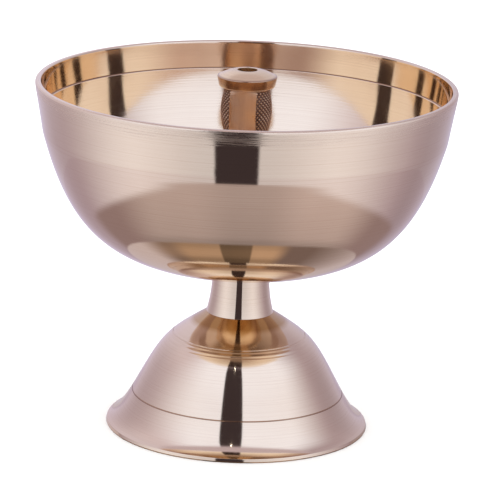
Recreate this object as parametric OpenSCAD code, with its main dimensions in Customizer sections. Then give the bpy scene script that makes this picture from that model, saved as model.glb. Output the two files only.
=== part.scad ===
// Pedestal oil lamp in turned brass: a round bowl on a waisted stem and a bell-shaped foot,
// with a screwed-down wick post in the middle and a lift-off cap that holds the wick.
// Millimetres. +Z is up along the lamp's axis and the foot rests on z = 0.

/* [Bowl] */
// Radius of the bowl at its lip
lip_r = 50.4; // [49.6:0.1:51.2]
// Height of the bowl from its underside to the top of the lip
bowl_h = 44.5; // [43:0.1:46]
// Thickness of the bowl wall at the lip
wall_t = 1.45; // [1.2:0.05:1.8]
// Thickness of the bowl floor under the wick post
floor_t = 2.4; // [2:0.1:3]
// Radius at the lower edge of the turned outer band
band_r = 48.35; // [47.8:0.05:48.6]
// Distance from the lip down to the lower edge of the outer band
band_h = 12.5; // [10:0.1:14]
// Distance from the lip down to the turned line inside the bowl
inner_line_h = 6.8; // [5:0.1:8]
// Step inward at the turned line inside the bowl
inner_step = 0.6; // [0.4:0.05:0.7]
// Radius of the flat seats above and below the bowl floor
seat_r = 7.6; // [7.2:0.1:8.5]

/* [Wick post] */
// Height of the post from its base to the underside of the cap
post_h = 40.4; // [38:0.1:42]
// Radius of the post's base flange
post_base_r = 7; // [6.5:0.1:7.2]
// Thickness of the post's base flange
post_base_t = 2.5; // [2:0.1:4]
// Radius of the plain column
column_r = 4.9; // [4.7:0.1:5.1]
// Greatest radius of the knurled grip
grip_r = 6.15; // [5.9:0.05:6.5]
// Radius at the two ends of the knurled grip
grip_end_r = 5.35; // [5.2:0.05:5.6]
// Height of the knurled grip
grip_h = 10.4; // [8:0.1:12]
// Plain neck between the grip and the cap
neck_h = 0.5; // [0.3:0.1:1]
// Width of the two milled channels in the grip
channel_w = 6.4; // [4:0.1:7]
// Distance from the axis to the floor of each channel
channel_y = 4.55; // [4.4:0.05:4.8]
// Turn of the channels about the axis, away from front and back
channel_turn = -10; // [-20:1:20]
// Radius of the wick chamber
chamber_r = 3.7; // [3.5:0.05:3.8]
// Radius of the oil ports at the bottom of the chamber
port_r = 1.6; // [1:0.1:1.8]

/* [Wick cap] */
// Radius at the top edge of the cap's flange
cap_r = 7.15; // [6.9:0.05:7.4]
// Radius at the bottom edge of the cap's flange
cap_low_r = 6.75; // [6.5:0.05:6.9]
// Thickness of the cap's flange at its edge
cap_t = 2.6; // [2:0.1:3]
// Rise of the domed top above the flange's edge
dome_h = 1.4; // [1:0.1:1.8]
// Radius of the wick hole
wick_r = 2.4; // [2:0.05:2.6]
// Length of the spigot below the flange
spigot_h = 12; // [8:0.5:14]
// Radial clearance between the spigot and the chamber
spigot_gap = 0.06; // [0.03:0.01:0.1]

/* [Stem] */
// Length of the stem
stem_h = 11.9; // [11:0.1:13]
// Radius of the stem where it meets the bowl
stem_top_r = 6.8; // [6.4:0.1:7]
// Radius of the stem where it meets the foot
stem_low_r = 8.1; // [7.8:0.1:8.4]

/* [Foot] */
// Height of the foot from the resting face to the stem
foot_h = 28.3; // [27.5:0.1:29]
// Greatest radius of the foot, at its flared edge
foot_r = 31.75; // [31:0.05:32.5]
// Thickness of the bell's wall
bell_t = 1.5; // [1.2:0.1:1.8]
// Thickness of the crown that the stem stands on
crown_t = 2.6; // [2.2:0.1:3]
// Height of the upper engraved ring
upper_ring_z = 22.8; // [21:0.1:24]
// Height of the lower engraved ring
lower_ring_z = 8.3; // [7:0.1:10]

/* [Fastening] */
// Radius of the tie stud
stud_r = 3; // [2.8:0.05:3]
// Depth that the stud screws into the wick post
stud_grip = 6; // [5:0.5:7]
// Length of stud left below the nut
stud_tail = 1.5; // [1:0.5:3]
// Distance across the flats of the nut
nut_af = 10; // [9:0.5:11]
// Thickness of the nut
nut_t = 5; // [4:0.5:6]
// Radius of the plain washer under the nut
washer_r = 7.5; // [7:0.1:8]
// Thickness of the plain washer
washer_t = 1.2; // [1:0.1:1.6]
// Thickness of the fibre seal under the wick post
seal_t = 1; // [0.8:0.1:1.5]

/* [Hidden] */
$fn = 128;
eps = 0.01;

// Clearance round the stud, and the steps of each curved and rounded stretch
stud_gap = 0.1;
thread_gap = 0.04;
curve_steps = 28;
round_steps = 6;
groove_w = 0.32;

// Heights of the stack, from the resting face up
under_z = foot_h + stem_h;
floor_z = under_z + floor_t;
lip_z = under_z + bowl_h;
post_z = floor_z + seal_t;
cap_z = post_z + post_h;
stud_top_z = post_z + stud_grip;
chamber_z = stud_top_z + 2;
seat_z = foot_h - crown_t;
nut_z = seat_z - washer_t - nut_t;
stud_low_z = nut_z - stud_tail;
grip_z = cap_z - neck_h - grip_h;

// A point at a distance and an angle from another, with the angle measured up from +X
function polar(from, length, angle) = from + length * [cos(angle), sin(angle)];

// Points along a cubic curve, without its first point
function curve(a, b, c, d, steps = curve_steps) =
    [for (i = [1:steps]) let (t = i / steps)
        pow(1 - t, 3) * a + 3 * t * pow(1 - t, 2) * b + 3 * t * t * (1 - t) * c + pow(t, 3) * d];

// Points along an arc from one angle to another
function arc(centre, radius, from, to, steps = round_steps) =
    [for (i = [0:steps]) polar(centre, radius, from + (to - from) * i / steps)];

// A fine engraved line, centred on a point of the outline
module groove_at(point) {
    translate(point) rotate(45) square(groove_w / sqrt(2), center = true);
}

// Bowl outline: the outer curve rises from the seat, breaks at the band's lower edge and runs
// straight to a rounded lip; inside, a straight band steps in to a curve down to the floor.
band_z = lip_z - band_h;
line_z = lip_z - inner_line_h;
band_top = [lip_r - 0.18, lip_z - 1.9];
band_low = [band_r, band_z];
outer_rise = polar(band_low, 24.3, -105.5);
outer_run = [seat_r + 24.6, under_z];
outer_round = 0.6;
inner_round = 0.4;
inner_lean = 5;
inner_lip_r = lip_r - wall_t;
line_out = [inner_lip_r - (inner_line_h - inner_round) * tan(inner_lean), line_z];
line_in = [line_out[0] - inner_step, line_z];
inner_rise = polar(line_in, 32.1, -98);
inner_run = [seat_r + 17.8, floor_z];

module bowl_outline() {
    polygon(concat(
        [[stud_r + stud_gap, under_z], [seat_r, under_z]],
        curve([seat_r, under_z], outer_run, outer_rise, band_low),
        [band_top],
        arc([lip_r - outer_round, lip_z - outer_round], outer_round, 0, 90),
        arc([inner_lip_r + inner_round, lip_z - inner_round], inner_round, 90, 180),
        [line_out, line_in],
        curve(line_in, inner_rise, inner_run, [seat_r, floor_z]),
        [[stud_r + stud_gap, floor_z]]));
}

module bowl() {
    color("peru") rotate_extrude() bowl_outline();
}

// Wick post: base flange, plain column, barrel-shaped grip and neck, bored from the top for
// the wick and from below for the stud, with oil ports where the two bores nearly meet.
module post_outline() {
    polygon(concat(
        [[0, post_z], [post_base_r, post_z], [post_base_r, post_z + post_base_t],
         [column_r, post_z + post_base_t + 1], [column_r, grip_z - 1], [grip_end_r, grip_z]],
        [for (i = [1:curve_steps]) let (t = i / curve_steps)
            [grip_end_r + (grip_r - grip_end_r) * sin(180 * t), grip_z + grip_h * t]],
        [[grip_end_r, cap_z], [0, cap_z]]));
}

module wick_post() {
    color("sienna") difference() {
        rotate_extrude() post_outline();
        translate([0, 0, chamber_z]) cylinder(h = cap_z, r = chamber_r);
        translate([0, 0, post_z - eps]) cylinder(h = stud_grip + 0.5, r = stud_r + thread_gap);
        for (side = [0, 180])
            rotate(side) translate([0, 0, chamber_z + port_r])
                rotate([0, 90, 0]) cylinder(h = grip_r, r = port_r);
        for (side = [0, 180])
            rotate(channel_turn + side)
                translate([-channel_w / 2, channel_y, grip_z]) cube([channel_w, grip_r, grip_h]);
    }
}

// Wick cap: a domed flange with a spigot that slides in the wick chamber.
module cap_outline() {
    spigot_r = chamber_r - spigot_gap;
    edge_round = 0.25;
    rim_r = cap_r - edge_round;
    sweep = rim_r - wick_r;
    polygon(concat(
        [[wick_r, cap_z - spigot_h], [spigot_r - edge_round, cap_z - spigot_h],
         [spigot_r, cap_z - spigot_h + edge_round], [spigot_r, cap_z],
         [cap_low_r - edge_round, cap_z], [cap_low_r, cap_z + edge_round]],
        arc([rim_r, cap_z + cap_t - edge_round], edge_round, 0, 75),
        [for (i = [1:round_steps]) let (t = i / round_steps)
            [rim_r - sweep * t, cap_z + cap_t + dome_h * sin(90 * t)]]));
}

module wick_cap() {
    color("burlywood") rotate_extrude() cap_outline();
}

// Fibre seal that keeps the oil from the stud hole in the bowl's floor.
module post_seal() {
    color("firebrick") translate([0, 0, floor_z]) difference() {
        cylinder(h = seal_t, r = seat_r - 0.2);
        translate([0, 0, -eps]) cylinder(h = seal_t + 2 * eps, r = stud_r + stud_gap);
    }
}

// Stem: a waisted collar that flares towards the foot.
module stem_outline() {
    flare = 2.5;
    polygon(concat(
        [[stud_r + stud_gap, foot_h], [stem_low_r, foot_h]],
        [for (i = [1:curve_steps]) let (t = i / curve_steps)
            [stem_top_r + (stem_low_r - stem_top_r) * pow(1 - t, flare), foot_h + stem_h * t]],
        [[stud_r + stud_gap, under_z]]));
}

module stem() {
    color("tan") rotate_extrude() stem_outline();
}

// Foot outline: a flat crown, a bell that steepens down to its waist and flares again to a
// narrow slanted rim that rolls under to the resting ring, and the same bell inside.
crown_edge = [stem_low_r, foot_h];
waist = [24.2, 10.8];
waist_angle = -62.3;
flare_edge = [foot_r - 0.2, 0.95];
flare_angle = -25;
inner_flare_angle = -36;
roll = 0.3;
ring_w = 0.9;
crown_run = polar(crown_edge, 11.7, -33);
waist_rise = polar(waist, -12, waist_angle);
waist_fall = polar(waist, 7.2, waist_angle);
flare_rise = polar(flare_edge, -2.4, flare_angle);

inner_crown = [washer_r + 0.6, seat_z];
inner_waist = polar(waist, bell_t, waist_angle - 90);
inner_edge = [foot_r - roll - ring_w, 0];
inner_crown_run = polar(inner_crown, 8.2, -33);
inner_waist_rise = polar(inner_waist, -12.5, waist_angle);
inner_waist_fall = polar(inner_waist, 7, waist_angle);
inner_edge_rise = polar(inner_edge, -2.4, inner_flare_angle);

function bell_outer() = concat(
    [crown_edge],
    curve(crown_edge, crown_run, waist_rise, waist),
    curve(waist, waist_fall, flare_rise, flare_edge));

// Radius of the bell's outside at a height
function bell_r(z) = let (p = bell_outer())
    lookup(z, [for (i = [len(p) - 1:-1:0]) [p[i][1], p[i][0]]]);

module foot_outline() {
    difference() {
        polygon(concat(
            [[stud_r + stud_gap, foot_h]],
            bell_outer(),
            arc([foot_r - roll, roll], roll, 0, -90),
            [inner_edge],
            curve(inner_edge, inner_edge_rise, inner_waist_fall, inner_waist),
            curve(inner_waist, inner_waist_rise, inner_crown_run, inner_crown),
            [[stud_r + stud_gap, seat_z]]));
        for (z = [upper_ring_z, lower_ring_z])
            groove_at([bell_r(z), z]);
    }
}

module foot() {
    color("goldenrod") rotate_extrude() foot_outline();
}

// Plain washer between the crown and the nut.
module foot_washer() {
    color("silver") translate([0, 0, seat_z - washer_t]) difference() {
        cylinder(h = washer_t, r = washer_r);
        translate([0, 0, -eps]) cylinder(h = washer_t + 2 * eps, r = stud_r + stud_gap);
    }
}

// Hexagon nut that pulls the whole lamp together.
module foot_nut() {
    color("gray") translate([0, 0, nut_z]) difference() {
        cylinder(h = nut_t, r = nut_af / 2 / cos(30), $fn = 6);
        translate([0, 0, -eps]) cylinder(h = nut_t + 2 * eps, r = stud_r + thread_gap);
    }
}

// Tie stud from the nut up into the base of the wick post.
module tie_stud() {
    chamfer = 0.6;
    color("dimgray") rotate_extrude() polygon([
        [0, stud_low_z], [stud_r - chamfer, stud_low_z], [stud_r, stud_low_z + chamfer],
        [stud_r, stud_top_z - chamfer], [stud_r - chamfer, stud_top_z], [0, stud_top_z]]);
}

bowl();
wick_post();
wick_cap();
post_seal();
stem();
foot();
foot_washer();
foot_nut();
tie_stud();
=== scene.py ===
"""A turned brass pedestal oil lamp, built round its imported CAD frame. Everything is in metres."""

import math

import bpy
import numpy as np
from mathutils import Matrix, Vector
from mathutils.kdtree import KDTree


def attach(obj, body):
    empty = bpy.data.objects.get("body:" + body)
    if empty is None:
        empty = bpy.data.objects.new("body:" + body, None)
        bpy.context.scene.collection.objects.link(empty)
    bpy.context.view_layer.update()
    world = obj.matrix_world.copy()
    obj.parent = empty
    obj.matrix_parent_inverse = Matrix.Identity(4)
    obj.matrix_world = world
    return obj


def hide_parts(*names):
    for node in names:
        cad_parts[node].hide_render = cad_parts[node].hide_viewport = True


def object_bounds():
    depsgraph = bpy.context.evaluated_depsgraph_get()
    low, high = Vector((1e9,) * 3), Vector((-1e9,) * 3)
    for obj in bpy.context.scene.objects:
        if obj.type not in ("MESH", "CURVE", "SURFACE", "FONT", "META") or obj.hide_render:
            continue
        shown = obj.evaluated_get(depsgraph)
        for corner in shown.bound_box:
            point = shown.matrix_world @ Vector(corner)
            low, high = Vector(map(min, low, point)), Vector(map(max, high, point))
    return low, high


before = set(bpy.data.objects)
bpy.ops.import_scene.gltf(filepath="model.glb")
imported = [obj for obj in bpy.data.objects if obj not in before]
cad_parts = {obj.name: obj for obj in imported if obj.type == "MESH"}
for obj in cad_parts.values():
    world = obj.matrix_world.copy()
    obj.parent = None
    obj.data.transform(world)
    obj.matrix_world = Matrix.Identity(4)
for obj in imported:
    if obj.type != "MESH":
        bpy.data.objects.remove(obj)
cad_low, cad_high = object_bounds()

MM = 0.001

# ---------------------------------------------------------------- turned outlines

AROUND = 224               # facets round a turned piece
STEP = 0.45 * MM           # spacing of the points along a smooth stretch
CORNER = math.radians(20)  # a sharper turn than this is a real corner
CREASE = math.radians(4)   # so is one this sharp, where a straight stretch meets a curve
FILLET = 0.10 * MM         # size of the small round on a real corner
FILLET_SHARE = 0.35        # the most of the chord beside a corner that its round takes
FILLET_POINTS = 5
SUPPORT = 0.02 * MM        # distance from a fillet to the point that keeps its neighbour flat
SAME = 0.004 * MM          # closer points than this are one point
LONG_SHARE = 2.5           # a chord this much longer than its neighbour is a straight stretch
ENGRAVED = math.radians(60)  # an inward corner sharper than this is an engraved line or a step
SHARP = math.radians(32)   # shading breaks at an edge sharper than this


def vertex_rings(cad_node):
    """Radius and height of each point of a CAD node."""
    co = np.array([v.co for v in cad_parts[cad_node].data.vertices], float)
    return np.hypot(co[:, 0], co[:, 1]), co[:, 2]


def half_section(cad_node):
    """The closed outline of a turned CAD node, as (radius, height) points in order round it."""
    rings = np.column_stack(vertex_rings(cad_node))
    points, ring_of = [], {}
    tree = KDTree(len(rings))
    for i, (r, z) in enumerate(rings):
        tree.insert((r, z, 0), i)
    tree.balance()
    for i, (r, z) in enumerate(rings):
        if i not in ring_of:
            for _, j, _ in tree.find_range((r, z, 0), SAME):
                ring_of[j] = len(points)
            points.append((r, z))
    links = {k: set() for k in range(len(points))}
    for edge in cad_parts[cad_node].data.edges:
        a, b = (ring_of[v] for v in edge.vertices)
        if a != b:
            links[a].add(b)
            links[b].add(a)
    order, last = [0], None
    while True:
        ahead = [k for k in links[order[-1]] if k != last and k not in order]
        last = order[-1]
        if not ahead:
            break
        order.append(ahead[0])
    outline = np.array([points[k] for k in order])
    r, z = outline.T
    area = np.sum(r * np.roll(z, -1) - np.roll(r, -1) * z) / 2
    return outline if area > 0 else outline[::-1]


def unit(v):
    return v / max(np.linalg.norm(v), 1e-12)


def angle_between(a, b):
    return math.acos(max(-1.0, min(1.0, float(np.dot(unit(a), unit(b))))))


def smooth_stretch(points):
    """Points about a step apart along the smooth curve through a stretch between two corners."""
    if len(points) == 2:
        count = max(2, math.ceil(np.linalg.norm(points[1] - points[0]) / STEP) + 1)
        return points[0] + np.linspace(0, 1, count)[:, None] * (points[1] - points[0])
    chords = np.diff(points, axis=0)
    lengths = np.linalg.norm(chords, axis=1)
    ways = chords / lengths[:, None]
    tangents = [ways[0]]
    for i in range(1, len(points) - 1):
        before, after = lengths[i - 1], lengths[i]
        if before > LONG_SHARE * after:
            tangents.append(ways[i - 1])
        elif after > LONG_SHARE * before:
            tangents.append(ways[i])
        else:
            tangents.append(unit(ways[i - 1] * after + ways[i] * before))
    tangents.append(ways[-1])
    if len(points) > 3:
        tangents[0] = unit(2 * ways[0] - tangents[1])
        tangents[-1] = unit(2 * ways[-1] - tangents[-2])
    made = [points[0]]
    for i, length in enumerate(lengths):
        count = max(1, math.ceil(length / STEP))
        for t in np.linspace(0, 1, count + 1)[1:]:
            h = (2 * t**3 - 3 * t**2 + 1, t**3 - 2 * t**2 + t, 3 * t**2 - 2 * t**3, t**3 - t**2)
            made.append(h[0] * points[i] + h[1] * length * tangents[i]
                        + h[2] * points[i + 1] + h[3] * length * tangents[i + 1])
    return np.array(made)


def fine_outline(outline):
    """The outline made smooth between its real corners, with a small round on each corner."""
    n = len(outline)
    corners = []
    for i in range(n):
        into, out = outline[i] - outline[i - 1], outline[(i + 1) % n] - outline[i]
        a, b = np.linalg.norm(into), np.linalg.norm(out)
        turn = angle_between(into, out)
        if turn > CORNER or (turn > CREASE and max(a, b) > LONG_SHARE * min(a, b)):
            corners.append(i)
    stretches = []
    for a, b in zip(corners, corners[1:] + [corners[0] + n]):
        stretches.append(smooth_stretch(np.array([outline[k % n] for k in range(a, b + 1)])))
    made = []
    for i, stretch in enumerate(stretches):
        arriving = stretches[i - 1]
        corner = stretch[0]
        into, out = arriving[-1] - arriving[-2], stretch[1] - stretch[0]
        size = min(FILLET, FILLET_SHARE * np.linalg.norm(into), FILLET_SHARE * np.linalg.norm(out))
        support = min(SUPPORT, size * 0.5)
        into, out = unit(into), unit(out)
        start, end = corner - size * into, corner + size * out
        made.append(start - support * into)
        for t in np.linspace(0, 1, FILLET_POINTS):
            made.append((1 - t) ** 2 * start + 2 * t * (1 - t) * corner + t**2 * end)
        made.append(end + support * out)
        made.extend(stretch[1:-1])
    return np.array(made)


def outline_normals(outline):
    """Outward directions, square to the smooth curve through each point of a closed outline."""
    before = outline - np.roll(outline, 1, axis=0)
    after = np.roll(outline, -1, axis=0) - outline
    lb, la = np.linalg.norm(before, axis=1)[:, None], np.linalg.norm(after, axis=1)[:, None]
    tangent = before / lb * la + after / la * lb
    tangent /= np.linalg.norm(tangent, axis=1)[:, None]
    return np.column_stack([tangent[:, 1], -tangent[:, 0]])


def arc_length(outline):
    chords = np.roll(outline, -1, axis=0) - outline
    return np.concatenate([[0], np.cumsum(np.linalg.norm(chords, axis=1))])


def line_places(outline, fine):
    """Arc lengths along the fine outline of the engraved lines and steps in the rough one."""
    before = outline - np.roll(outline, 1, axis=0)
    after = np.roll(outline, -1, axis=0) - outline
    cross = before[:, 0] * after[:, 1] - before[:, 1] * after[:, 0]
    turn = np.arctan2(cross, np.sum(before * after, axis=1))
    along = arc_length(fine)
    nearest = [np.argmin(np.linalg.norm(fine - corner, axis=1)) for corner in outline[turn < -ENGRAVED]]
    return [float(along[k]) for k in nearest]


# ---------------------------------------------------------------- meshes

def link(obj):
    bpy.context.scene.collection.objects.link(obj)
    return obj


def turn_angles(count):
    return np.arange(count) * 2 * math.pi / count


def plain_ring(angles, r, height=None):
    """The x and y of a round ring, which are the same at any height."""
    return r * np.cos(angles), r * np.sin(angles)


def loft(name, rings, along):
    """A mesh through closed rings of points, (rings, points, 3), closed from the last ring to the first.

    Its u goes round each ring, and its v, in metres, is along."""
    turns, n, _ = rings.shape
    p, a = np.meshgrid(np.arange(turns), np.arange(n), indexing="ij")
    p2, a2 = (p + 1) % turns, (a + 1) % n
    quads = np.stack([p * n + a, p * n + a2, p2 * n + a2, p2 * n + a], -1).reshape(-1, 4)
    mesh = bpy.data.meshes.new(name)
    mesh.from_pydata(rings.reshape(-1, 3).tolist(), [], quads.tolist())
    u0, u1 = a / n, (a + 1) / n
    v0, v1 = along[p], along[p + 1]
    uv = np.stack([u0, v0, u1, v0, u1, v1, u0, v1], -1).reshape(-1)
    mesh.uv_layers.new(name="Turned").data.foreach_set("uv", uv.astype(np.float32))
    mesh.polygons.foreach_set("use_smooth", np.ones(len(mesh.polygons), bool))
    return mesh


def revolve(name, outline):
    """A closed turned piece from its closed outline."""
    angles = turn_angles(AROUND)
    turn = np.stack([np.cos(angles), np.sin(angles)], -1)
    rings = np.empty((len(outline), AROUND, 3))
    rings[..., :2] = outline[:, 0][:, None, None] * turn
    rings[..., 2] = outline[:, 1][:, None]
    mesh = loft(name, rings, arc_length(outline))
    flat = outline_normals(outline)
    normals = np.empty_like(rings)
    normals[..., :2] = flat[:, 0][:, None, None] * turn
    normals[..., 2] = flat[:, 1][:, None]
    mesh.normals_split_custom_set_from_vertices(normals.reshape(-1, 3).tolist())
    return link(bpy.data.objects.new(name, mesh))


def shaped(name, outline, around, shape):
    """A solid round the axis, where shape(angles, r, z) gives the x and y of each ring of the outline.

    The outline's first and last points, on the axis, close its ends."""
    rings = np.empty((len(outline), around, 3))
    angles = turn_angles(around)
    for k, (radius, height) in enumerate(outline):
        rings[k, :, 0], rings[k, :, 1] = shape(angles, radius, height)
        rings[k, :, 2] = height
    p, a = np.meshgrid(np.arange(1, len(outline) - 2), np.arange(around), indexing="ij")
    first = 1 + (p - 1) * around
    beside = (a + 1) % around
    quads = np.stack([first + a, first + beside, first + around + beside, first + around + a], -1)
    last = 1 + (len(outline) - 2) * around
    fans = [(0, 1 + (i + 1) % around, 1 + i) for i in range(around)]
    fans += [(last, last - around + i, last - around + (i + 1) % around) for i in range(around)]
    ends = [[(0, 0, outline[k, 1])] for k in (0, -1)]
    co = ends[0] + rings[1:-1].reshape(-1, 3).tolist() + ends[1]
    mesh = bpy.data.meshes.new(name)
    mesh.from_pydata(co, [], quads.reshape(-1, 4).tolist() + fans)
    mesh.polygons.foreach_set("use_smooth", np.ones(len(mesh.polygons), bool))
    mesh.set_sharp_from_angle(angle=SHARP)
    return link(bpy.data.objects.new(name, mesh))


# ---------------------------------------------------------------- sizes of the wick post and fastenings

POST_AROUND = 272           # facets round the post, and below round the ports, stud and nut
POST_ROW = 1.2 * MM         # spacing of the rings where there is no knurl
POST_WALL = 1.2             # the outside of the post lies beyond this much of the chamber's radius
KNURL_STARTS = 34
KNURL_PITCH = 1.1 * MM
KNURL_DEPTH = 0.28 * MM
KNURL_ROW = KNURL_PITCH / 11
KNURL_FADE = 0.7 * MM       # the knurl runs out over this height at each end of the grip
KNURL_FLAT = 0.25           # the larger this is, the wider the flat top of each diamond
CHANNEL_HALF = 3.2 * MM
CHANNEL_FLOOR = 4.55 * MM   # distance of each milled floor from the axis
CHANNEL_CROWN = 0.4 * MM    # how far the middle of a milled floor stands out
CHANNEL_CROWN_SHARE = 0.6   # and the most of the channel's depth that this takes
CHANNEL_SNAP = 0.09 * MM    # points nearer than this to a channel's corner move into it
CHANNEL_TURN = math.radians(-10)
PORT_R = 1.6 * MM
PORT_REACH = 9 * MM
PORT_AROUND = 48

STUD_AROUND = 72
THREAD_PITCH = 1.0 * MM
THREAD_DEPTH = 0.55 * MM
THREAD_ROW = 0.08 * MM
NUT_AROUND = 120
NUT_FACE = 0.97             # radius of the nut's flat faces over half its width across flats
NUT_CHAMFER_ROWS = np.linspace(0.05, 1.3, 8)  # heights of its rings, over that of the chamfer

# ---------------------------------------------------------------- materials

BRASS = (0.91, 0.745, 0.545, 1)
TARNISH = (0.70, 0.465, 0.30, 1)
CAP_BRASS = (0.97, 0.77, 0.48, 1)
OILED, VARNISH = (0.96, 0.70, 0.46, 1), (0.58, 0.33, 0.18, 1)
SOOT = (0.16, 0.09, 0.06, 1)
STEEL = (0.66, 0.65, 0.63, 1)
FIBRE = (0.30, 0.07, 0.05, 1)

STEP_TINT = (0.38, 0.24, 0.15, 1)      # patina in the step inside the bowl
PATINA, FAINT = (0.30, 0.19, 0.13, 1), (0.62, 0.41, 0.25, 1)  # and in the foot's two engraved lines
LINE_HALF, LINE_FULL = 0.17 * MM, 0.119 * MM  # half a line's width, and half the width of full colour
CROWN_PAINTED_SHADE = (0.68, 0.56, 0.40, 1)     # painted shade over the brass of the crown close round the stem, under the bowl
CROWN_SHADE_RADII = (10.9 * MM, 12.2 * MM)  # radii where that painted shade is full and gone
CAP_EDGE_PAINTED_SHADE = (0.60, 0.53, 0.54, 1)  # painted shade over the cap's edge, dimming its bright reflection
CAP_EDGE_SHADE_DEPTHS = (0.25 * MM, 0.6 * MM)     # how far in from the edge that painted shade is still full, and gone

NOISE_SPAN = (0.3, 0.7)     # most of a noise's values lie in this span
RING_PITCH = 0.35 * MM      # spacing of the lathe rings
RING_DARK = (0.45, 0.70)    # the noise's span for a lathe ring's darker tone
RING_ROUGHNESS = (0.8, 1.25)  # shares of a face's roughness between the rings' smooth and rough parts
RIDGE_FADE = 0.3            # the first and last ridge fade over this share of a ridge
CLOUD_SCALE, CLOUD_DEPTH = 55.0, 0.006 * MM   # slow unevenness of a polished face
CLOUD_DARK, CLOUD_TONE = (0.35, 0.75), 0.15   # its span for tarnish, and the most tarnish
HAIR_ROUND, HAIR_ALONG = 26.0, 2600.0   # wipe marks in a turn, and in a metre across them
HAIR_MARK = (0.54, 0.74)    # the noise's span for a wipe mark
HAIR_TONE, HAIR_ROUGHNESS = 0.07, 0.05
RIM_RAGGED, RIM_ROUGH = 1.0 * MM, 0.24  # raggedness of the rim's rough band, and its roughness
RIM_STREAKS = (0.38, 0.62, 0.45, 1.25)  # the noise's span, then how rough the band is over it
TURNED_GRAIN = 0.25         # turns the stretched highlights across the lathe rings

GROOVE_DARK = (0.25, 0.7)   # from a diamond's top to its groove, where soot starts and is full
SOOTED, VARNISHED = 0.95, 0.75  # how far soot covers a groove, and varnish the whole knurl
STREAK_SCALE, STREAK_SQUEEZE = 900.0, 0.05   # upright streaks: noise drawn out along the post
STAIN_SCALE, STAIN_DEPTH = 300.0, 0.01 * MM
STAIN, STAINED = (0.42, 0.68), 0.35  # the stains' span, and how far they turn the brass to varnish
POST_ROUGHNESS = (0.26, 0.44)


def fill(nt, socket, value):
    """Links another node's output to a socket, or sets its value."""
    if isinstance(value, bpy.types.NodeSocket):
        nt.links.new(value, socket)
    else:
        socket.default_value = value


def node(nt, kind, inputs=None, **settings):
    made = nt.nodes.new(kind)
    for key, value in settings.items():
        setattr(made, key, value)
    for key, value in (inputs or {}).items():
        fill(nt, made.inputs[key], value)
    return made


def math_node(nt, operation, *values):
    return node(nt, "ShaderNodeMath", dict(enumerate(values)), operation=operation).outputs[0]


def product(nt, first, *others):
    for other in others:
        first = math_node(nt, "MULTIPLY", first, other)
    return first


def distance(nt, x, y):
    return math_node(nt, "SQRT", math_node(nt, "ADD", product(nt, x, x), product(nt, y, y)))


def apart(nt, value, middle):
    """How far a value is from a middle, on either side."""
    return math_node(nt, "ABSOLUTE", math_node(nt, "SUBTRACT", value, middle))


def map_range(nt, value, low, high, to_low=0.0, to_high=1.0, smooth=False):
    ends = {"From Min": low, "From Max": high, "To Min": to_low, "To Max": to_high}
    way = "SMOOTHSTEP" if smooth else "LINEAR"
    return node(nt, "ShaderNodeMapRange", {"Value": value, **ends}, interpolation_type=way).outputs[0]


def mix_colour(nt, factor, a, b, blend="MIX"):
    mix = node(nt, "ShaderNodeMix", {0: factor}, data_type="RGBA", blend_type=blend)
    fill(nt, mix.inputs[6], a)
    fill(nt, mix.inputs[7], b)
    return mix.outputs[2]


def noise(nt, dimensions="3D", **inputs):
    return node(nt, "ShaderNodeTexNoise", inputs, noise_dimensions=dimensions).outputs["Fac"]


def bump(nt, height, depth, **inputs):
    return node(nt, "ShaderNodeBump", {"Height": height, "Strength": 1.0, "Distance": depth,
                                       **inputs}).outputs[0]


def object_xyz(nt):
    where = node(nt, "ShaderNodeTexCoord").outputs["Object"]
    return node(nt, "ShaderNodeSeparateXYZ", {0: where}).outputs


def new_material(name):
    material = bpy.data.materials.new(name)
    material.use_nodes = True
    return material, material.node_tree, material.node_tree.nodes["Principled BSDF"]


def ridge_wave(nt, along, start, count, pitch, height):
    """A few even ridges across a turned face, from a place along its outline."""
    turns = math_node(nt, "DIVIDE", math_node(nt, "SUBTRACT", along, start), pitch)
    wave = math_node(nt, "COSINE", product(nt, turns, 2 * math.pi))
    rising = map_range(nt, turns, 0.0, RIDGE_FADE)
    falling = map_range(nt, turns, count - RIDGE_FADE, count, 1.0, 0.0)
    return product(nt, wave, product(nt, rising, falling), height)


def rim_wear(nt, radius, z, hairs, rim_r, rim_z):
    """More roughness outside a radius and above a height, streaked, with a ragged lower edge."""
    ragged = math_node(nt, "ADD", z, map_range(nt, hairs, *NOISE_SPAN, -RIM_RAGGED, RIM_RAGGED))
    rough = map_range(nt, ragged, rim_z - RIM_RAGGED, rim_z + RIM_RAGGED, 0.0, RIM_ROUGH)
    streaks = map_range(nt, hairs, *RIM_STREAKS)
    return product(nt, rough, streaks, math_node(nt, "GREATER_THAN", radius, rim_r))


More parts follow.
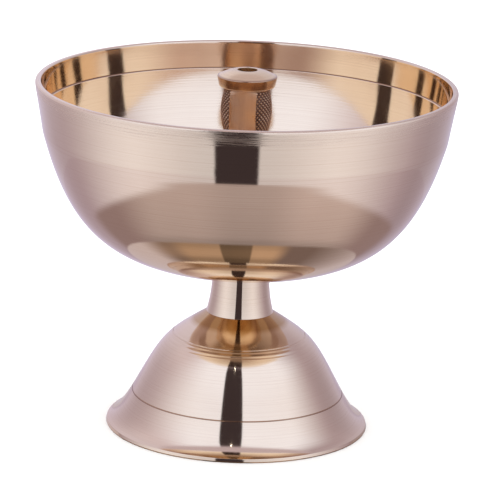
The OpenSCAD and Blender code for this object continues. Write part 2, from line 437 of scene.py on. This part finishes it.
def turned_brass(name, colour=BRASS, roughness=0.10, anisotropy=0.8, ring_depth=0.0016 * MM,
                 ring_tone=0.15, lines=(), line_tints=(), ridges=None, rim=None, tint=None):
    """Polished brass with lathe rings, light tarnish, fine wipe marks and patina in its engraved lines.

    ridges gives where they start, their count, pitch and height over that of the lathe rings; rim, the
    radius and height beyond which it is rougher; tint, a colour multiplied over the brass as painted
    shade, and the radii where it is full and gone."""
    material, nt, shader = new_material(name)
    coords = node(nt, "ShaderNodeTexCoord").outputs
    round_turn, along, _ = node(nt, "ShaderNodeSeparateXYZ", {0: coords["UV"]}).outputs
    x, y, z = object_xyz(nt)
    radius = distance(nt, x, y)
    rings = noise(nt, "1D", W=product(nt, along, 1 / RING_PITCH), Scale=1.0, Detail=4.0, Roughness=0.65)
    cloud = noise(nt, "4D", Vector=coords["Object"], W=0.0, Scale=CLOUD_SCALE, Detail=3.0, Roughness=0.5)
    hair_at = node(nt, "ShaderNodeCombineXYZ", {0: product(nt, round_turn, HAIR_ROUND),
                                                1: product(nt, along, HAIR_ALONG)}).outputs[0]
    hairs = noise(nt, Vector=hair_at, Scale=1.0, Detail=3.0, Roughness=0.6)
    marks = map_range(nt, hairs, *HAIR_MARK)

    relief = rings
    if ridges:
        relief = math_node(nt, "ADD", rings, ridge_wave(nt, along, *ridges))
    fill(nt, shader.inputs["Normal"], bump(nt, cloud, CLOUD_DEPTH, Normal=bump(nt, relief, ring_depth)))

    face = mix_colour(nt, map_range(nt, cloud, *CLOUD_DARK, 0.0, CLOUD_TONE), colour, TARNISH)
    face = mix_colour(nt, product(nt, marks, HAIR_TONE), face, TARNISH)
    face = mix_colour(nt, map_range(nt, rings, *RING_DARK, 0.0, ring_tone), face, TARNISH)
    # tint multiplies painted shade over the brass, full at one radius and gone at the other
    if tint:
        over, full, none = tint
        face = mix_colour(nt, map_range(nt, radius, full, none, 1.0, 0.0), face, over, "MULTIPLY")
    for line, line_tint in zip(lines, line_tints):
        inside = map_range(nt, apart(nt, along, line), LINE_FULL, LINE_HALF, 1.0, 0.0)
        face = mix_colour(nt, inside, face, line_tint)
    fill(nt, shader.inputs["Base Color"], face)

    worn = map_range(nt, rings, *NOISE_SPAN, *(roughness * share for share in RING_ROUGHNESS))
    worn = math_node(nt, "ADD", worn, product(nt, marks, HAIR_ROUGHNESS))
    if rim:
        worn = math_node(nt, "ADD", worn, rim_wear(nt, radius, z, hairs, *rim))
    fill(nt, shader.inputs["Roughness"], worn)
    shader.inputs["Metallic"].default_value = 1.0
    shader.inputs["Anisotropic"].default_value = anisotropy
    shader.inputs["Anisotropic Rotation"].default_value = TURNED_GRAIN
    tangent = node(nt, "ShaderNodeTangent", direction_type="RADIAL", axis="Z")
    fill(nt, shader.inputs["Tangent"], tangent.outputs[0])
    return material


def plain_material(name, colour, metallic, roughness, speckle, scale, depth):
    """A steel or fibre surface with fine speckle in its colour and relief."""
    material, nt, shader = new_material(name)
    where = node(nt, "ShaderNodeTexCoord").outputs["Object"]
    grain = noise(nt, Vector=where, Scale=scale, Detail=5.0)
    dark = tuple(c * (1 - speckle) for c in colour[:3]) + (1,)
    fill(nt, shader.inputs["Base Color"], mix_colour(nt, map_range(nt, grain, 0.35, 0.65), dark, colour))
    fill(nt, shader.inputs["Normal"], bump(nt, grain, depth))
    shader.inputs["Metallic"].default_value = metallic
    shader.inputs["Roughness"].default_value = roughness
    return material


def knurl_grooves(nt, angle, z, grip_low):
    """How near a point is to the middle of a groove of the diamond knurl, which is 1."""
    turns = product(nt, angle, KNURL_STARTS / (2 * math.pi))
    climb = product(nt, math_node(nt, "SUBTRACT", z, grip_low), 1 / KNURL_PITCH)
    grooves = []
    for way in ("ADD", "SUBTRACT"):
        part = math_node(nt, "FRACT", math_node(nt, way, turns, climb))
        grooves.append(apart(nt, product(nt, part, 2.0), 1.0))
    return math_node(nt, "MAXIMUM", *grooves)


def knurled_brass(name, grip_low, grip_high):
    """Worn brass with upright streaks of oil varnish, and soot in the grooves of the knurl."""
    material, nt, shader = new_material(name)
    where = node(nt, "ShaderNodeTexCoord").outputs["Object"]
    x, y, z = object_xyz(nt)
    angle = math_node(nt, "SUBTRACT", math_node(nt, "ARCTAN2", y, x), CHANNEL_TURN)
    groove = map_range(nt, knurl_grooves(nt, angle, z, grip_low), *GROOVE_DARK)
    beside = math_node(nt, "ABSOLUTE", math_node(nt, "COSINE", angle))
    channel = math_node(nt, "DIVIDE", CHANNEL_HALF, distance(nt, x, y))
    knurled = product(nt, math_node(nt, "GREATER_THAN", beside, channel),
                      math_node(nt, "GREATER_THAN", z, grip_low),
                      math_node(nt, "LESS_THAN", z, grip_high))
    upright = node(nt, "ShaderNodeMapping", {"Vector": where, "Scale": (1.0, 1.0, STREAK_SQUEEZE)})
    streaks = noise(nt, Vector=upright.outputs[0], Scale=STREAK_SCALE, Detail=4.0)
    cloud = noise(nt, Vector=where, Scale=STAIN_SCALE, Detail=3.0)
    stain = math_node(nt, "ADD", product(nt, streaks, 0.6), product(nt, cloud, 0.4))
    face = mix_colour(nt, map_range(nt, stain, *STAIN, 0.0, STAINED), OILED, VARNISH)
    face = mix_colour(nt, product(nt, knurled, VARNISHED), face, VARNISH)
    face = mix_colour(nt, product(nt, groove, knurled, SOOTED), face, SOOT)
    fill(nt, shader.inputs["Base Color"], face)
    fill(nt, shader.inputs["Roughness"], map_range(nt, cloud, *NOISE_SPAN, *POST_ROUGHNESS))
    fill(nt, shader.inputs["Normal"], bump(nt, stain, STAIN_DEPTH))
    shader.inputs["Metallic"].default_value = 1.0
    return material


# ---------------------------------------------------------------- the lamp

def place(piece, cad_node, body, material):
    """Gives a piece its material, hangs it on its body and puts it in a CAD node's stead."""
    piece.data.materials.clear()
    piece.data.materials.append(material)
    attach(piece, body)
    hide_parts(cad_node)


def turned_piece(name, cad_node, body, slot, ridged=None, **finish):
    """A turned brass piece; ridged gives the count, pitch and height of the ridges below its highest line."""
    outline = half_section(cad_node)
    fine = fine_outline(outline)
    lines = line_places(outline, fine)
    if ridged:
        along = arc_length(fine)
        top = max(lines, key=lambda line: fine[np.argmin(np.abs(along[:-1] - line))][1])
        count, pitch, height = ridged
        finish["ridges"] = (top - (count - 0.5) * pitch, count, pitch, height)
    place(revolve(name, fine), cad_node, body, turned_brass(slot, lines=lines, **finish))


def plain_piece(name, cad_node, material):
    place(revolve(name, fine_outline(half_section(cad_node))), cad_node, "lamp", material)


def post_rows(outline, chamber, grip_low, grip_high):
    """The post's outline in rows fine enough for its knurl, with one more row just inside each end of it."""
    fine = [outline[0]]
    for a, b in zip(outline, outline[1:]):
        gripped = a[1] > grip_low - SAME and b[1] < grip_high + SAME and b[1] > a[1]
        row = KNURL_ROW if gripped else POST_ROW
        count = max(1, math.ceil(np.linalg.norm(b - a) / row - 0.01))
        fine += [a + (b - a) * t for t in np.linspace(0, 1, count + 1)[1:]]

    def outside_at(height):
        return [k for k, (r, z) in enumerate(fine) if abs(z - height) < SAME and r > chamber]

    first = outside_at(grip_low)[-1]
    fine.insert(first + 1, fine[first] + np.array([0, SAME]))
    last = outside_at(grip_high)[0]
    fine.insert(last, fine[last] - np.array([0, SAME]))
    return np.array(fine)


def groove_depth(turns):
    tent = np.abs(2 * (turns % 1.0) - 1)
    return np.clip((1 + KNURL_FLAT) * tent - KNURL_FLAT, 0, 1)


def milled(x, y, radius):
    """Points of a ring, moved onto the floors and walls of the two milled channels where they lie in them."""
    side = np.sign(y)
    off = np.arctan2(x, np.abs(y))
    wall = math.sqrt(max(0.0, radius**2 - CHANNEL_HALF**2)) - CHANNEL_FLOOR
    reach = math.asin(CHANNEL_HALF / radius) if wall > 0 else math.acos(CHANNEL_FLOOR / radius)
    half = CHANNEL_HALF if wall > 0 else CHANNEL_FLOOR * math.tan(reach)
    s = off / reach * (half + max(0.0, wall))
    snap = np.abs(np.abs(s) - half) < CHANNEL_SNAP
    s = np.where(snap, np.sign(s) * half, s)
    cut_x = np.clip(s, -half, half)
    rise = min(CHANNEL_CROWN, CHANNEL_CROWN_SHARE * max(0.0, radius - CHANNEL_FLOOR))
    crown = rise * (1 - (cut_x / half)**2)
    cut_y = side * (CHANNEL_FLOOR + crown + np.maximum(0.0, np.abs(s) - half))
    inside = np.abs(off) < reach
    return np.where(inside, cut_x, x), np.where(inside, cut_y, y)


def cut_ports(post, height):
    """Drills the two oil ports, in one line through the post."""
    bit = np.array([(0, -PORT_REACH), (PORT_R, -PORT_REACH), (PORT_R, PORT_REACH), (0, PORT_REACH)])
    port = shaped("port_cutter", bit, PORT_AROUND, plain_ring)
    port.data.transform(Matrix.Rotation(math.pi / 2, 4, "Y"))
    port.location.z = height
    cut = post.modifiers.new("ports", "BOOLEAN")
    cut.operation, cut.object = "DIFFERENCE", port
    bpy.context.view_layer.update()
    drilled = post.evaluated_get(bpy.context.evaluated_depsgraph_get())
    post.data, blank = bpy.data.meshes.new_from_object(drilled), post.data
    post.modifiers.clear()
    bpy.data.meshes.remove(blank)
    bpy.data.objects.remove(port)


def wick_post():
    """The wick post: bored from both ends, with a diamond knurl, two milled channels and two oil ports."""
    r, z = vertex_rings("wick_post")
    low, high = z.min(), z.max()
    bore, chamber = r[z < low + SAME].min(), r[z > high - SAME].min()
    bore_end = z[r < bore + SAME].max()
    chamber_end = z[np.abs(r - chamber) < SAME].min()
    widest = [(r[np.abs(z - h) < SAME].max(), h) for h in np.unique(np.round(z, 6))]
    outer = [(reach, h) for reach, h in widest if reach > POST_WALL * chamber]
    outline = np.array([(0, bore_end), (bore, bore_end), (bore, low)] + outer
                       + [(chamber, high), (chamber, chamber_end), (0, chamber_end)])
    column = min(reach for reach, _ in outer)
    bulge = [h for reach, h in outer if reach > column + 2 * SAME and h > (low + high) / 2]
    grip_low, grip_high = bulge[0], bulge[-2]

    def shape(angles, radius, height):
        if radius < column - SAME or not grip_low < height < grip_high:
            return plain_ring(angles, radius, height)
        turns = KNURL_STARTS * angles / (2 * math.pi)
        climb = (height - grip_low) / KNURL_PITCH
        fade = min(1.0, (height - grip_low) / KNURL_FADE, (grip_high - height) / KNURL_FADE)
        depth = KNURL_DEPTH * fade * np.maximum(groove_depth(turns + climb), groove_depth(turns - climb))
        return milled(*plain_ring(angles, radius - depth, height), radius)

    post = shaped("post_body", post_rows(outline, chamber, grip_low, grip_high), POST_AROUND, shape)
    post.data.transform(Matrix.Rotation(CHANNEL_TURN, 4, "Z"))
    cut_ports(post, chamber_end + PORT_R)
    brass = knurled_brass("knurled_brass", grip_low, grip_high)
    place(post, "wick_post", "lamp", brass)


def tie_stud(material):
    """The stud, with its helical thread on the length that shows below the nut."""
    r, z = vertex_rings("tie_stud")
    low, high, full = z.min(), z.max(), r.max()
    end = r[z < low + SAME].max()
    thread_end = vertex_rings("foot_nut")[1].min() + 1.5 * THREAD_PITCH
    rows = [(full, h) for h in np.arange(low + full - end, thread_end, THREAD_ROW)]
    outline = np.array([(0, low), (end, low)] + rows + [(full, high - full + end), (end, high), (0, high)])

    def shape(angles, radius, height):
        turn = (height - low) / THREAD_PITCH - angles / (2 * math.pi)
        fade = np.clip((thread_end - height) / THREAD_PITCH, 0, 1)
        root = full - THREAD_DEPTH * fade * (1 - np.abs(2 * (turn % 1.0) - 1))
        return plain_ring(angles, np.minimum(radius, root), height)

    place(shaped("stud", outline, STUD_AROUND, shape), "tie_stud", "lamp", material)


def foot_nut(material):
    """The hexagon nut, with its corners chamfered."""
    r, z = vertex_rings("foot_nut")
    low, high, bore, corner = z.min(), z.max(), r.min(), r.max()
    slope = math.tan(math.pi / 6)
    flat = corner * math.cos(math.pi / 6)
    rise = (corner - flat) * slope
    outline = [(bore, high), (bore, low), (flat * NUT_FACE, low)]
    outline += [(corner, low + rise * t) for t in NUT_CHAMFER_ROWS]
    outline += [(corner, high - rise * t) for t in NUT_CHAMFER_ROWS[::-1]]
    outline = np.array(outline + [(flat * NUT_FACE, high)])
    angles = turn_angles(NUT_AROUND)
    hexagon = flat / np.cos(angles % (math.pi / 3) - math.pi / 6)
    rings = np.empty((len(outline), NUT_AROUND, 3))
    for k, (radius, height) in enumerate(outline):
        cone = flat * NUT_FACE + min(height - low, high - height) / slope
        reach = np.minimum(hexagon, cone) if radius > bore + SAME else np.full(NUT_AROUND, radius)
        rings[k, :, 0], rings[k, :, 1] = plain_ring(angles, reach, height)
        rings[k, :, 2] = height
    mesh = loft("nut", rings, arc_length(outline))
    mesh.set_sharp_from_angle(angle=SHARP)
    place(link(bpy.data.objects.new("nut", mesh)), "foot_nut", "lamp", material)


RIM_BELOW_CAP = 6.4 * MM   # from the cap's top down to where the outside of the bowl's rim turns rougher
RIM_OUTER = 0.7 * MM       # how far in from the lip's edge that rough band reaches
FOOT_RIDGES = (3, 1.1 * MM, 16.0)  # count, pitch, and height over that of the lathe rings
CAP_R = vertex_rings("wick_cap")[0].max()


def add_lamp():
    turned_piece("bowl_shell", "bowl", "lamp", "bowl_brass", roughness=0.06, anisotropy=0.7,
                 ring_depth=0.0022 * MM, ring_tone=0.2, line_tints=(STEP_TINT,),
                 rim=(cad_high[0] - RIM_OUTER, cad_high[2] - RIM_BELOW_CAP))
    turned_piece("stem_collar", "stem", "lamp", "stem_brass", roughness=0.07, ring_depth=0.0008 * MM)
    # the foot's crown round the stem gets painted shade, for the shade and dim reflection under the bowl
    turned_piece("foot_bell", "foot", "lamp", "foot_brass", roughness=0.08, ring_depth=0.0008 * MM,
                 ridged=FOOT_RIDGES, tint=(CROWN_PAINTED_SHADE, *CROWN_SHADE_RADII), line_tints=(PATINA, FAINT))
    # the cap's edge gets painted shade that dims its bright reflection
    turned_piece("cap_flange", "wick_cap", "cap", "cap_brass", colour=CAP_BRASS, roughness=0.2,
                 anisotropy=0.3, tint=(CAP_EDGE_PAINTED_SHADE, *(CAP_R - depth for depth in CAP_EDGE_SHADE_DEPTHS)))
    wick_post()
    steel = plain_material("plated_steel", STEEL, metallic=1.0, roughness=0.28, speckle=0.2,
                           scale=700.0, depth=0.004 * MM)
    fibre = plain_material("seal_fibre", FIBRE, metallic=0.0, roughness=0.75, speckle=0.4,
                           scale=1500.0, depth=0.03 * MM)
    plain_piece("seal_ring", "post_seal", fibre)
    plain_piece("washer", "foot_washer", steel)
    foot_nut(steel)
    tie_stud(steel)


# ---------------------------------------------------------------- camera

SENSOR = 36.0                    # millimetres, for the frame's longer side
FOCAL_SHARE = 6.986              # focal length over the frame's longer side
DISTANCE = 0.845
ELEVATION = math.radians(15.48)
ROLL = math.radians(1.88)
TARGET_HEIGHT = 0.0393
AIM_RIGHT, AIM_UP = 0.00189, 0.00399  # how far off the target the camera looks


def add_camera():
    data = bpy.data.cameras.new("camera")
    data.sensor_width = SENSOR
    data.lens = SENSOR * FOCAL_SHARE
    data.clip_start, data.clip_end = 0.01, 20
    camera = link(bpy.data.objects.new("camera", data))
    back = Vector((0, -math.cos(ELEVATION), math.sin(ELEVATION)))
    right = Vector((1, 0, 0))
    up = back.cross(right)
    target = Vector((0, 0, TARGET_HEIGHT))
    spot = target + DISTANCE * back
    look = (spot - (target + AIM_RIGHT * right + AIM_UP * up)).normalized()
    across = up.cross(look).normalized()
    level = look.cross(across)
    turned = math.cos(ROLL) * across + math.sin(ROLL) * level
    tall = -math.sin(ROLL) * across + math.cos(ROLL) * level
    camera.matrix_world = Matrix.Translation(spot) @ Matrix((turned, tall, look)).transposed().to_4x4()
    bpy.context.scene.camera = camera


# ---------------------------------------------------------------- stage
# Azimuths are in degrees from the front, where the camera stands, and grow to the right.

TENT_R, TENT_H = 0.160, 0.46
TENT_AROUND = 128
TENT_BELOW = 0.0003                  # how far the tent's floor lies below the lamp
HIGH = (0.01, 0.14)                  # heights over which the low light gives way to the high
FRONT_LOW, FRONT_HIGH = (0.88, 0.899, 1.081, 1), (0.99, 1.085, 1.411, 1)  # panels beside the camera
FRONT_MIDDLE = (-5.0, 10.0)          # azimuth of the middle of the front, low and high
FRONT_TO_SIDE = (50, 108)            # degrees from that middle over which each light gives way
SIDE_TO_BACK = (110, 160)
SIDE, SIDE_HIGH = (0.45, 0.393, 0.512, 1), (0.7, 0.651, 0.83, 1)          # the second on the left only
SIDE_HIGH_FROM = (-30, 30)
BACK_LOW, BACK_HIGH = (0.57, 0.527, 0.694, 1), (0.64, 0.62, 0.808, 1)
LEFT_MORE, LEFT_MORE_FROM, LEFT_MORE_TO = 0.18, (-122, -152), (-165, -178)  # the back is brighter here
RIGHT_LESS, RIGHT_LESS_FROM, RIGHT_LESS_TO = 0.15, (92, 110), (122, 145)    # and the side dimmer here,
RIGHT_LESS_HIGH = 0.6                # up to this share of the low light's height
CEILING = (0.56, 0.496, 0.637, 1)
PANEL_TOP = (0.215, 0.27)            # height over which the panels give way to the ceiling's light

GAP_LEFT, GAP_RIGHT = -14.5, 7.0     # edges of the camera's gap between the panels, at the foot
GAP_SPREAD, GAP_TALL = 4.0, 0.19     # how much further left the left edge stands, and at what height
GAP_SOFT = 0.8
GAP_COLOUR = (0.047, 0.036, 0.045, 1)  # the camera and the room behind it
NEAR_GAP, NEAR_GAP_MIDDLE, NEAR_GAP_DIM = (8, 55), -4.0, (0.76, 1.02)  # panels dim next to the gap

FAR_TABLE = (0.94, 0.91, 0.92)       # the far table's light over the panels' light
BOWL_SHADOW_DISC = (0.46, 0.398, 0.444)          # the bowl's painted shadow on the table round the foot, as seen in the bowl
# darker painted shade on that table at the sides
BOWL_SHADOW_SIDE = (0.30, 0.228, 0.264, 1)
DISC_MIDDLE = 4.0                    # azimuth of the disc's middle line
DISC_TO_SIDE, DISC_TO_BACK = (52, 88), (104, 124)  # degrees from it over which its light changes
DISC_SHIFT, DISC_WIDTH = 0.015, 1.12  # how far its centre lies in front, and its depth over its width
DISC_EDGE = (0.105, 0.117)
DISC_SHADE_ACROSS = (-0.04, 0.06, 1.04, 1.18)  # from left to right: where, then how bright
DISC_SHADE_EDGE = (0.058, 0.067, 0.76, 1.0)    # next to the foot: the same, by radius
DISC_SHADE_OUT = (0.067, 0.105, 0.94, 1.07)
DISC_SHADE_FRONT = (6, 34, 0.80, 1.0)          # and by degrees from the disc's middle line

FOOT_EDGE = (0.0560, 0.0575)         # radii over which the foot's surroundings give way to the disc
# painted light and shade on the table round the foot: gold light thrown by the brass foot, painted shade
# beside it, pale lit table at the sides
FOOT_GOLD_LIGHT, FOOT_SHADE, FOOT_PALE = (0.435, 0.303, 0.225), (0.19, 0.142, 0.145, 1), (0.60, 0.54, 0.63, 1)
FOOT_GOLD_ACROSS = (-10, 12, 1.0, 1.16)        # azimuths, then how bright the painted gold light is
FOOT_GOLD_IN, FOOT_GOLD_OUT = (0.035, 0.043, 0.62, 1.0), (0.047, 0.056, 1.06, 0.80)  # the same, by radius
FOOT_SHADE_RIGHT, FOOT_SHADE_LEFT = (22, 36, 0.0, 1.0), (-38, -54, 0.0, 0.6)  # azimuths, then shares
FOOT_PALE_RIGHT, FOOT_PALE_LEFT = (52, 118, 0.0, 0.88), (-54, -84, 0.0, 1.0)
FOOT_IN_GAP = 0.38                   # what is left of that light in the camera's gap

SPARK_AZIMUTH, SPARK_HEIGHT = math.radians(-5.0), 0.218
SPARK_SIZE, SPARK_LIGHT, SPARK_INSIDE = 0.0008, 140.0, 0.004
FLOOR_HALF, PAPER = 4.0, (0.93, 0.93, 0.93, 1)
WORLD_LIGHT = 1.6
GLOSSY_BOUNCES = 8                   # light runs round the inside of the bowl in many short steps


def only_reflected(obj):
    for kind in ("camera", "diffuse", "shadow", "transmission", "volume_scatter"):
        setattr(obj, "visible_" + kind, False)


def emission(name, colour, strength=1.0):
    """A glowing material, from a colour or from a function that makes its colour in nodes."""
    material, nt, shader = new_material(name)
    nt.nodes.remove(shader)
    glow = node(nt, "ShaderNodeEmission", {"Strength": strength})
    fill(nt, glow.inputs["Color"], colour if isinstance(colour, tuple) else colour(nt))
    fill(nt, nt.nodes["Material Output"].inputs[0], glow.outputs[0])
    return material


def scaled(nt, colour, factor):
    return node(nt, "ShaderNodeVectorMath", {0: colour, "Scale": factor}, operation="SCALE").outputs[0]


def tinted(nt, colour, tint):
    return node(nt, "ShaderNodeVectorMath", {0: colour, 1: tint}, operation="MULTIPLY").outputs[0]


def azimuth_of(nt, x, y):
    toward = product(nt, y, -1.0)
    return product(nt, math_node(nt, "ARCTAN2", x, toward), 180 / math.pi)


def round_light(nt, azimuth, z):
    """Bright in front and whiter with height, dim lilac at the sides, a little brighter behind."""
    high = map_range(nt, z, *HIGH, smooth=True)
    off = apart(nt, azimuth, map_range(nt, high, 0, 1, *FRONT_MIDDLE))
    front = map_range(nt, off, *FRONT_TO_SIDE, smooth=True)
    behind = map_range(nt, off, *SIDE_TO_BACK, smooth=True)
    high_left = product(nt, high, map_range(nt, azimuth, *SIDE_HIGH_FROM, 1.0, 0.0))
    side = mix_colour(nt, high_left, SIDE, SIDE_HIGH)
    lit = mix_colour(nt, front, mix_colour(nt, high, FRONT_LOW, FRONT_HIGH), side)
    lit = mix_colour(nt, behind, lit, mix_colour(nt, high, BACK_LOW, BACK_HIGH))
    more = product(nt, map_range(nt, azimuth, *LEFT_MORE_FROM, 1.0, 1.0 + LEFT_MORE),
                   map_range(nt, azimuth, *LEFT_MORE_TO, 1.0, 1.0 / (1.0 + LEFT_MORE)))
    less = product(nt, map_range(nt, azimuth, *RIGHT_LESS_FROM),
                   map_range(nt, azimuth, *RIGHT_LESS_TO, 1.0, 0.0),
                   map_range(nt, high, 0.0, RIGHT_LESS_HIGH, RIGHT_LESS, 0.0))
    return scaled(nt, lit, product(nt, more, math_node(nt, "SUBTRACT", 1.0, less)))


def outside_gap(nt, azimuth, z):
    spread = map_range(nt, z, 0.0, GAP_TALL, 0.0, GAP_SPREAD)
    left = math_node(nt, "SUBTRACT", math_node(nt, "SUBTRACT", GAP_LEFT, spread), azimuth)
    right = math_node(nt, "SUBTRACT", azimuth, GAP_RIGHT)
    return map_range(nt, math_node(nt, "MAXIMUM", left, right), -GAP_SOFT, GAP_SOFT, smooth=True)


def near_gap(nt, azimuth):
    """The panels are a little dimmer next to the gap."""
    return map_range(nt, apart(nt, azimuth, NEAR_GAP_MIDDLE), *NEAR_GAP, *NEAR_GAP_DIM, smooth=True)


def wall_light(nt):
    """The panels with the camera's gap between them, under the ceiling's light."""
    x, y, z = object_xyz(nt)
    azimuth = azimuth_of(nt, x, y)
    low = map_range(nt, z, *HIGH, 1.0, 0.0, smooth=True)
    dim = product(nt, low, math_node(nt, "SUBTRACT", 1.0, near_gap(nt, azimuth)))
    lit = scaled(nt, round_light(nt, azimuth, z), math_node(nt, "SUBTRACT", 1.0, dim))
    lit = mix_colour(nt, outside_gap(nt, azimuth, z), GAP_COLOUR, lit)
    return mix_colour(nt, map_range(nt, z, *PANEL_TOP, smooth=True), lit, CEILING)


def foot_light(nt, azimuth, radius):
    """Painted light on the table next to the foot: gold light thrown by the foot in front, painted shade
    beside that, pale at the sides and behind.
    """
    gold_light = scaled(nt, FOOT_GOLD_LIGHT, map_range(nt, azimuth, *FOOT_GOLD_ACROSS))
    ring = product(nt, map_range(nt, radius, *FOOT_GOLD_IN, smooth=True),
                   map_range(nt, radius, *FOOT_GOLD_OUT, smooth=True))
    shade = math_node(nt, "MAXIMUM", map_range(nt, azimuth, *FOOT_SHADE_LEFT, smooth=True),
                      map_range(nt, azimuth, *FOOT_SHADE_RIGHT, smooth=True))
    pale = math_node(nt, "MAXIMUM", map_range(nt, azimuth, *FOOT_PALE_LEFT, smooth=True),
                     map_range(nt, azimuth, *FOOT_PALE_RIGHT))
    return mix_colour(nt, pale, mix_colour(nt, shade, scaled(nt, gold_light, ring), FOOT_SHADE), FOOT_PALE)


def disc_light(nt, x, azimuth, radius, far):
    """The bowl's painted shadow on the table, seen in the bowl as a brown disc, darker painted shade at the
    sides, and as the far table behind.
    """
    off = apart(nt, azimuth, DISC_MIDDLE)
    shade = product(nt, map_range(nt, x, *DISC_SHADE_ACROSS),
                    map_range(nt, radius, *DISC_SHADE_EDGE, smooth=True),
                    map_range(nt, radius, *DISC_SHADE_OUT),
                    map_range(nt, off, *DISC_SHADE_FRONT, smooth=True))
    disc = mix_colour(nt, map_range(nt, off, *DISC_TO_SIDE, smooth=True), scaled(nt, BOWL_SHADOW_DISC, shade), BOWL_SHADOW_SIDE)
    return mix_colour(nt, map_range(nt, off, *DISC_TO_BACK, smooth=True), disc, far)


def floor_light(nt):
    """Panels' light far off, the bowl's painted shadow on the table nearer as a brown disc, and painted light
    and shade round the foot.
    """
    x, y, z = object_xyz(nt)
    azimuth, radius = azimuth_of(nt, x, y), distance(nt, x, y)
    gap = outside_gap(nt, azimuth, z)
    far = scaled(nt, tinted(nt, round_light(nt, azimuth, z), FAR_TABLE), near_gap(nt, azimuth))
    far = mix_colour(nt, gap, GAP_COLOUR, far)
    disc = disc_light(nt, x, azimuth, radius, far)
    foot = scaled(nt, foot_light(nt, azimuth, radius), map_range(nt, gap, 0.0, 1.0, FOOT_IN_GAP, 1.0))
    near = mix_colour(nt, map_range(nt, radius, *FOOT_EDGE, 1.0, 0.0), disc, foot)
    out = distance(nt, product(nt, x, DISC_WIDTH), math_node(nt, "ADD", y, DISC_SHIFT))
    return mix_colour(nt, map_range(nt, out, *DISC_EDGE, smooth=True), near, far)


def tent_part(name, r0, z0, r1, z1, material):
    """A disc, ring or wall round the axis, between two of its circles."""
    co, faces = [], []
    for i, angle in enumerate(turn_angles(TENT_AROUND)):
        co += [(*plain_ring(angle, r0), z0), (*plain_ring(angle, r1), z1)]
        j = (i + 1) % TENT_AROUND
        faces.append((2 * i, 2 * j, 2 * j + 1, 2 * i + 1))
    mesh = bpy.data.meshes.new(name)
    mesh.from_pydata(co, [], faces)
    mesh.materials.append(material)
    only_reflected(link(bpy.data.objects.new(name, mesh)))


def add_spark():
    """The small bright lamp whose reflections are the sharp glints."""
    s = SPARK_SIZE
    spark = bpy.data.meshes.new("tent_spark")
    spark.from_pydata([(s, 0, 0), (-s, 0, 0), (0, s, 0), (0, -s, 0), (0, 0, s), (0, 0, -s)], [],
                      [(0, 2, 4), (2, 1, 4), (1, 3, 4), (3, 0, 4),
                       (2, 0, 5), (1, 2, 5), (3, 1, 5), (0, 3, 5)])
    spark.materials.append(emission("tent_spark_light", (1, 1, 1, 1), SPARK_LIGHT))
    obj = link(bpy.data.objects.new("tent_spark", spark))
    reach = TENT_R - SPARK_INSIDE
    obj.location = (reach * math.sin(SPARK_AZIMUTH), -reach * math.cos(SPARK_AZIMUTH), SPARK_HEIGHT)
    only_reflected(obj)


def add_tent():
    """A light tent round the lamp, seen only in its reflections, with a gap for the camera."""
    low = -TENT_BELOW
    tent_part("tent_floor", 0.0, low, TENT_R, low, emission("tent_floor_light", floor_light))
    tent_part("tent_wall", TENT_R, low, TENT_R, TENT_H, emission("tent_wall_light", wall_light))
    tent_part("tent_top", TENT_R, TENT_H, 0.0, TENT_H, emission("tent_top_light", CEILING))
    add_spark()


def add_floor():
    """A pale floor, clear from below so that the underside can be seen."""
    s = FLOOR_HALF
    mesh = bpy.data.meshes.new("floor")
    mesh.from_pydata([(-s, -s, 0), (s, -s, 0), (s, s, 0), (-s, s, 0)], [], [(0, 1, 2, 3)])
    material, nt, shader = new_material("floor_paper")
    shader.inputs["Base Color"].default_value = PAPER
    shader.inputs["Roughness"].default_value = 1.0
    shader.inputs["Specular IOR Level"].default_value = 0.0
    below = node(nt, "ShaderNodeNewGeometry").outputs["Backfacing"]
    clear = node(nt, "ShaderNodeBsdfTransparent").outputs[0]
    mix = node(nt, "ShaderNodeMixShader", {0: below, 1: shader.outputs[0], 2: clear})
    fill(nt, nt.nodes["Material Output"].inputs[0], mix.outputs[0])
    mesh.materials.append(material)
    floor = link(bpy.data.objects.new("floor", mesh))
    floor.visible_glossy = False


def add_world():
    world = bpy.data.worlds.new("studio")
    bpy.context.scene.world = world
    world.use_nodes = True
    background = world.node_tree.nodes["Background"]
    background.inputs["Color"].default_value = (1, 1, 1, 1)
    background.inputs["Strength"].default_value = WORLD_LIGHT


add_lamp()
bpy.context.scene.view_settings.view_transform = "Standard"
bpy.context.scene.cycles.glossy_bounces = GLOSSY_BOUNCES
add_camera()
add_floor()
add_tent()
add_world()
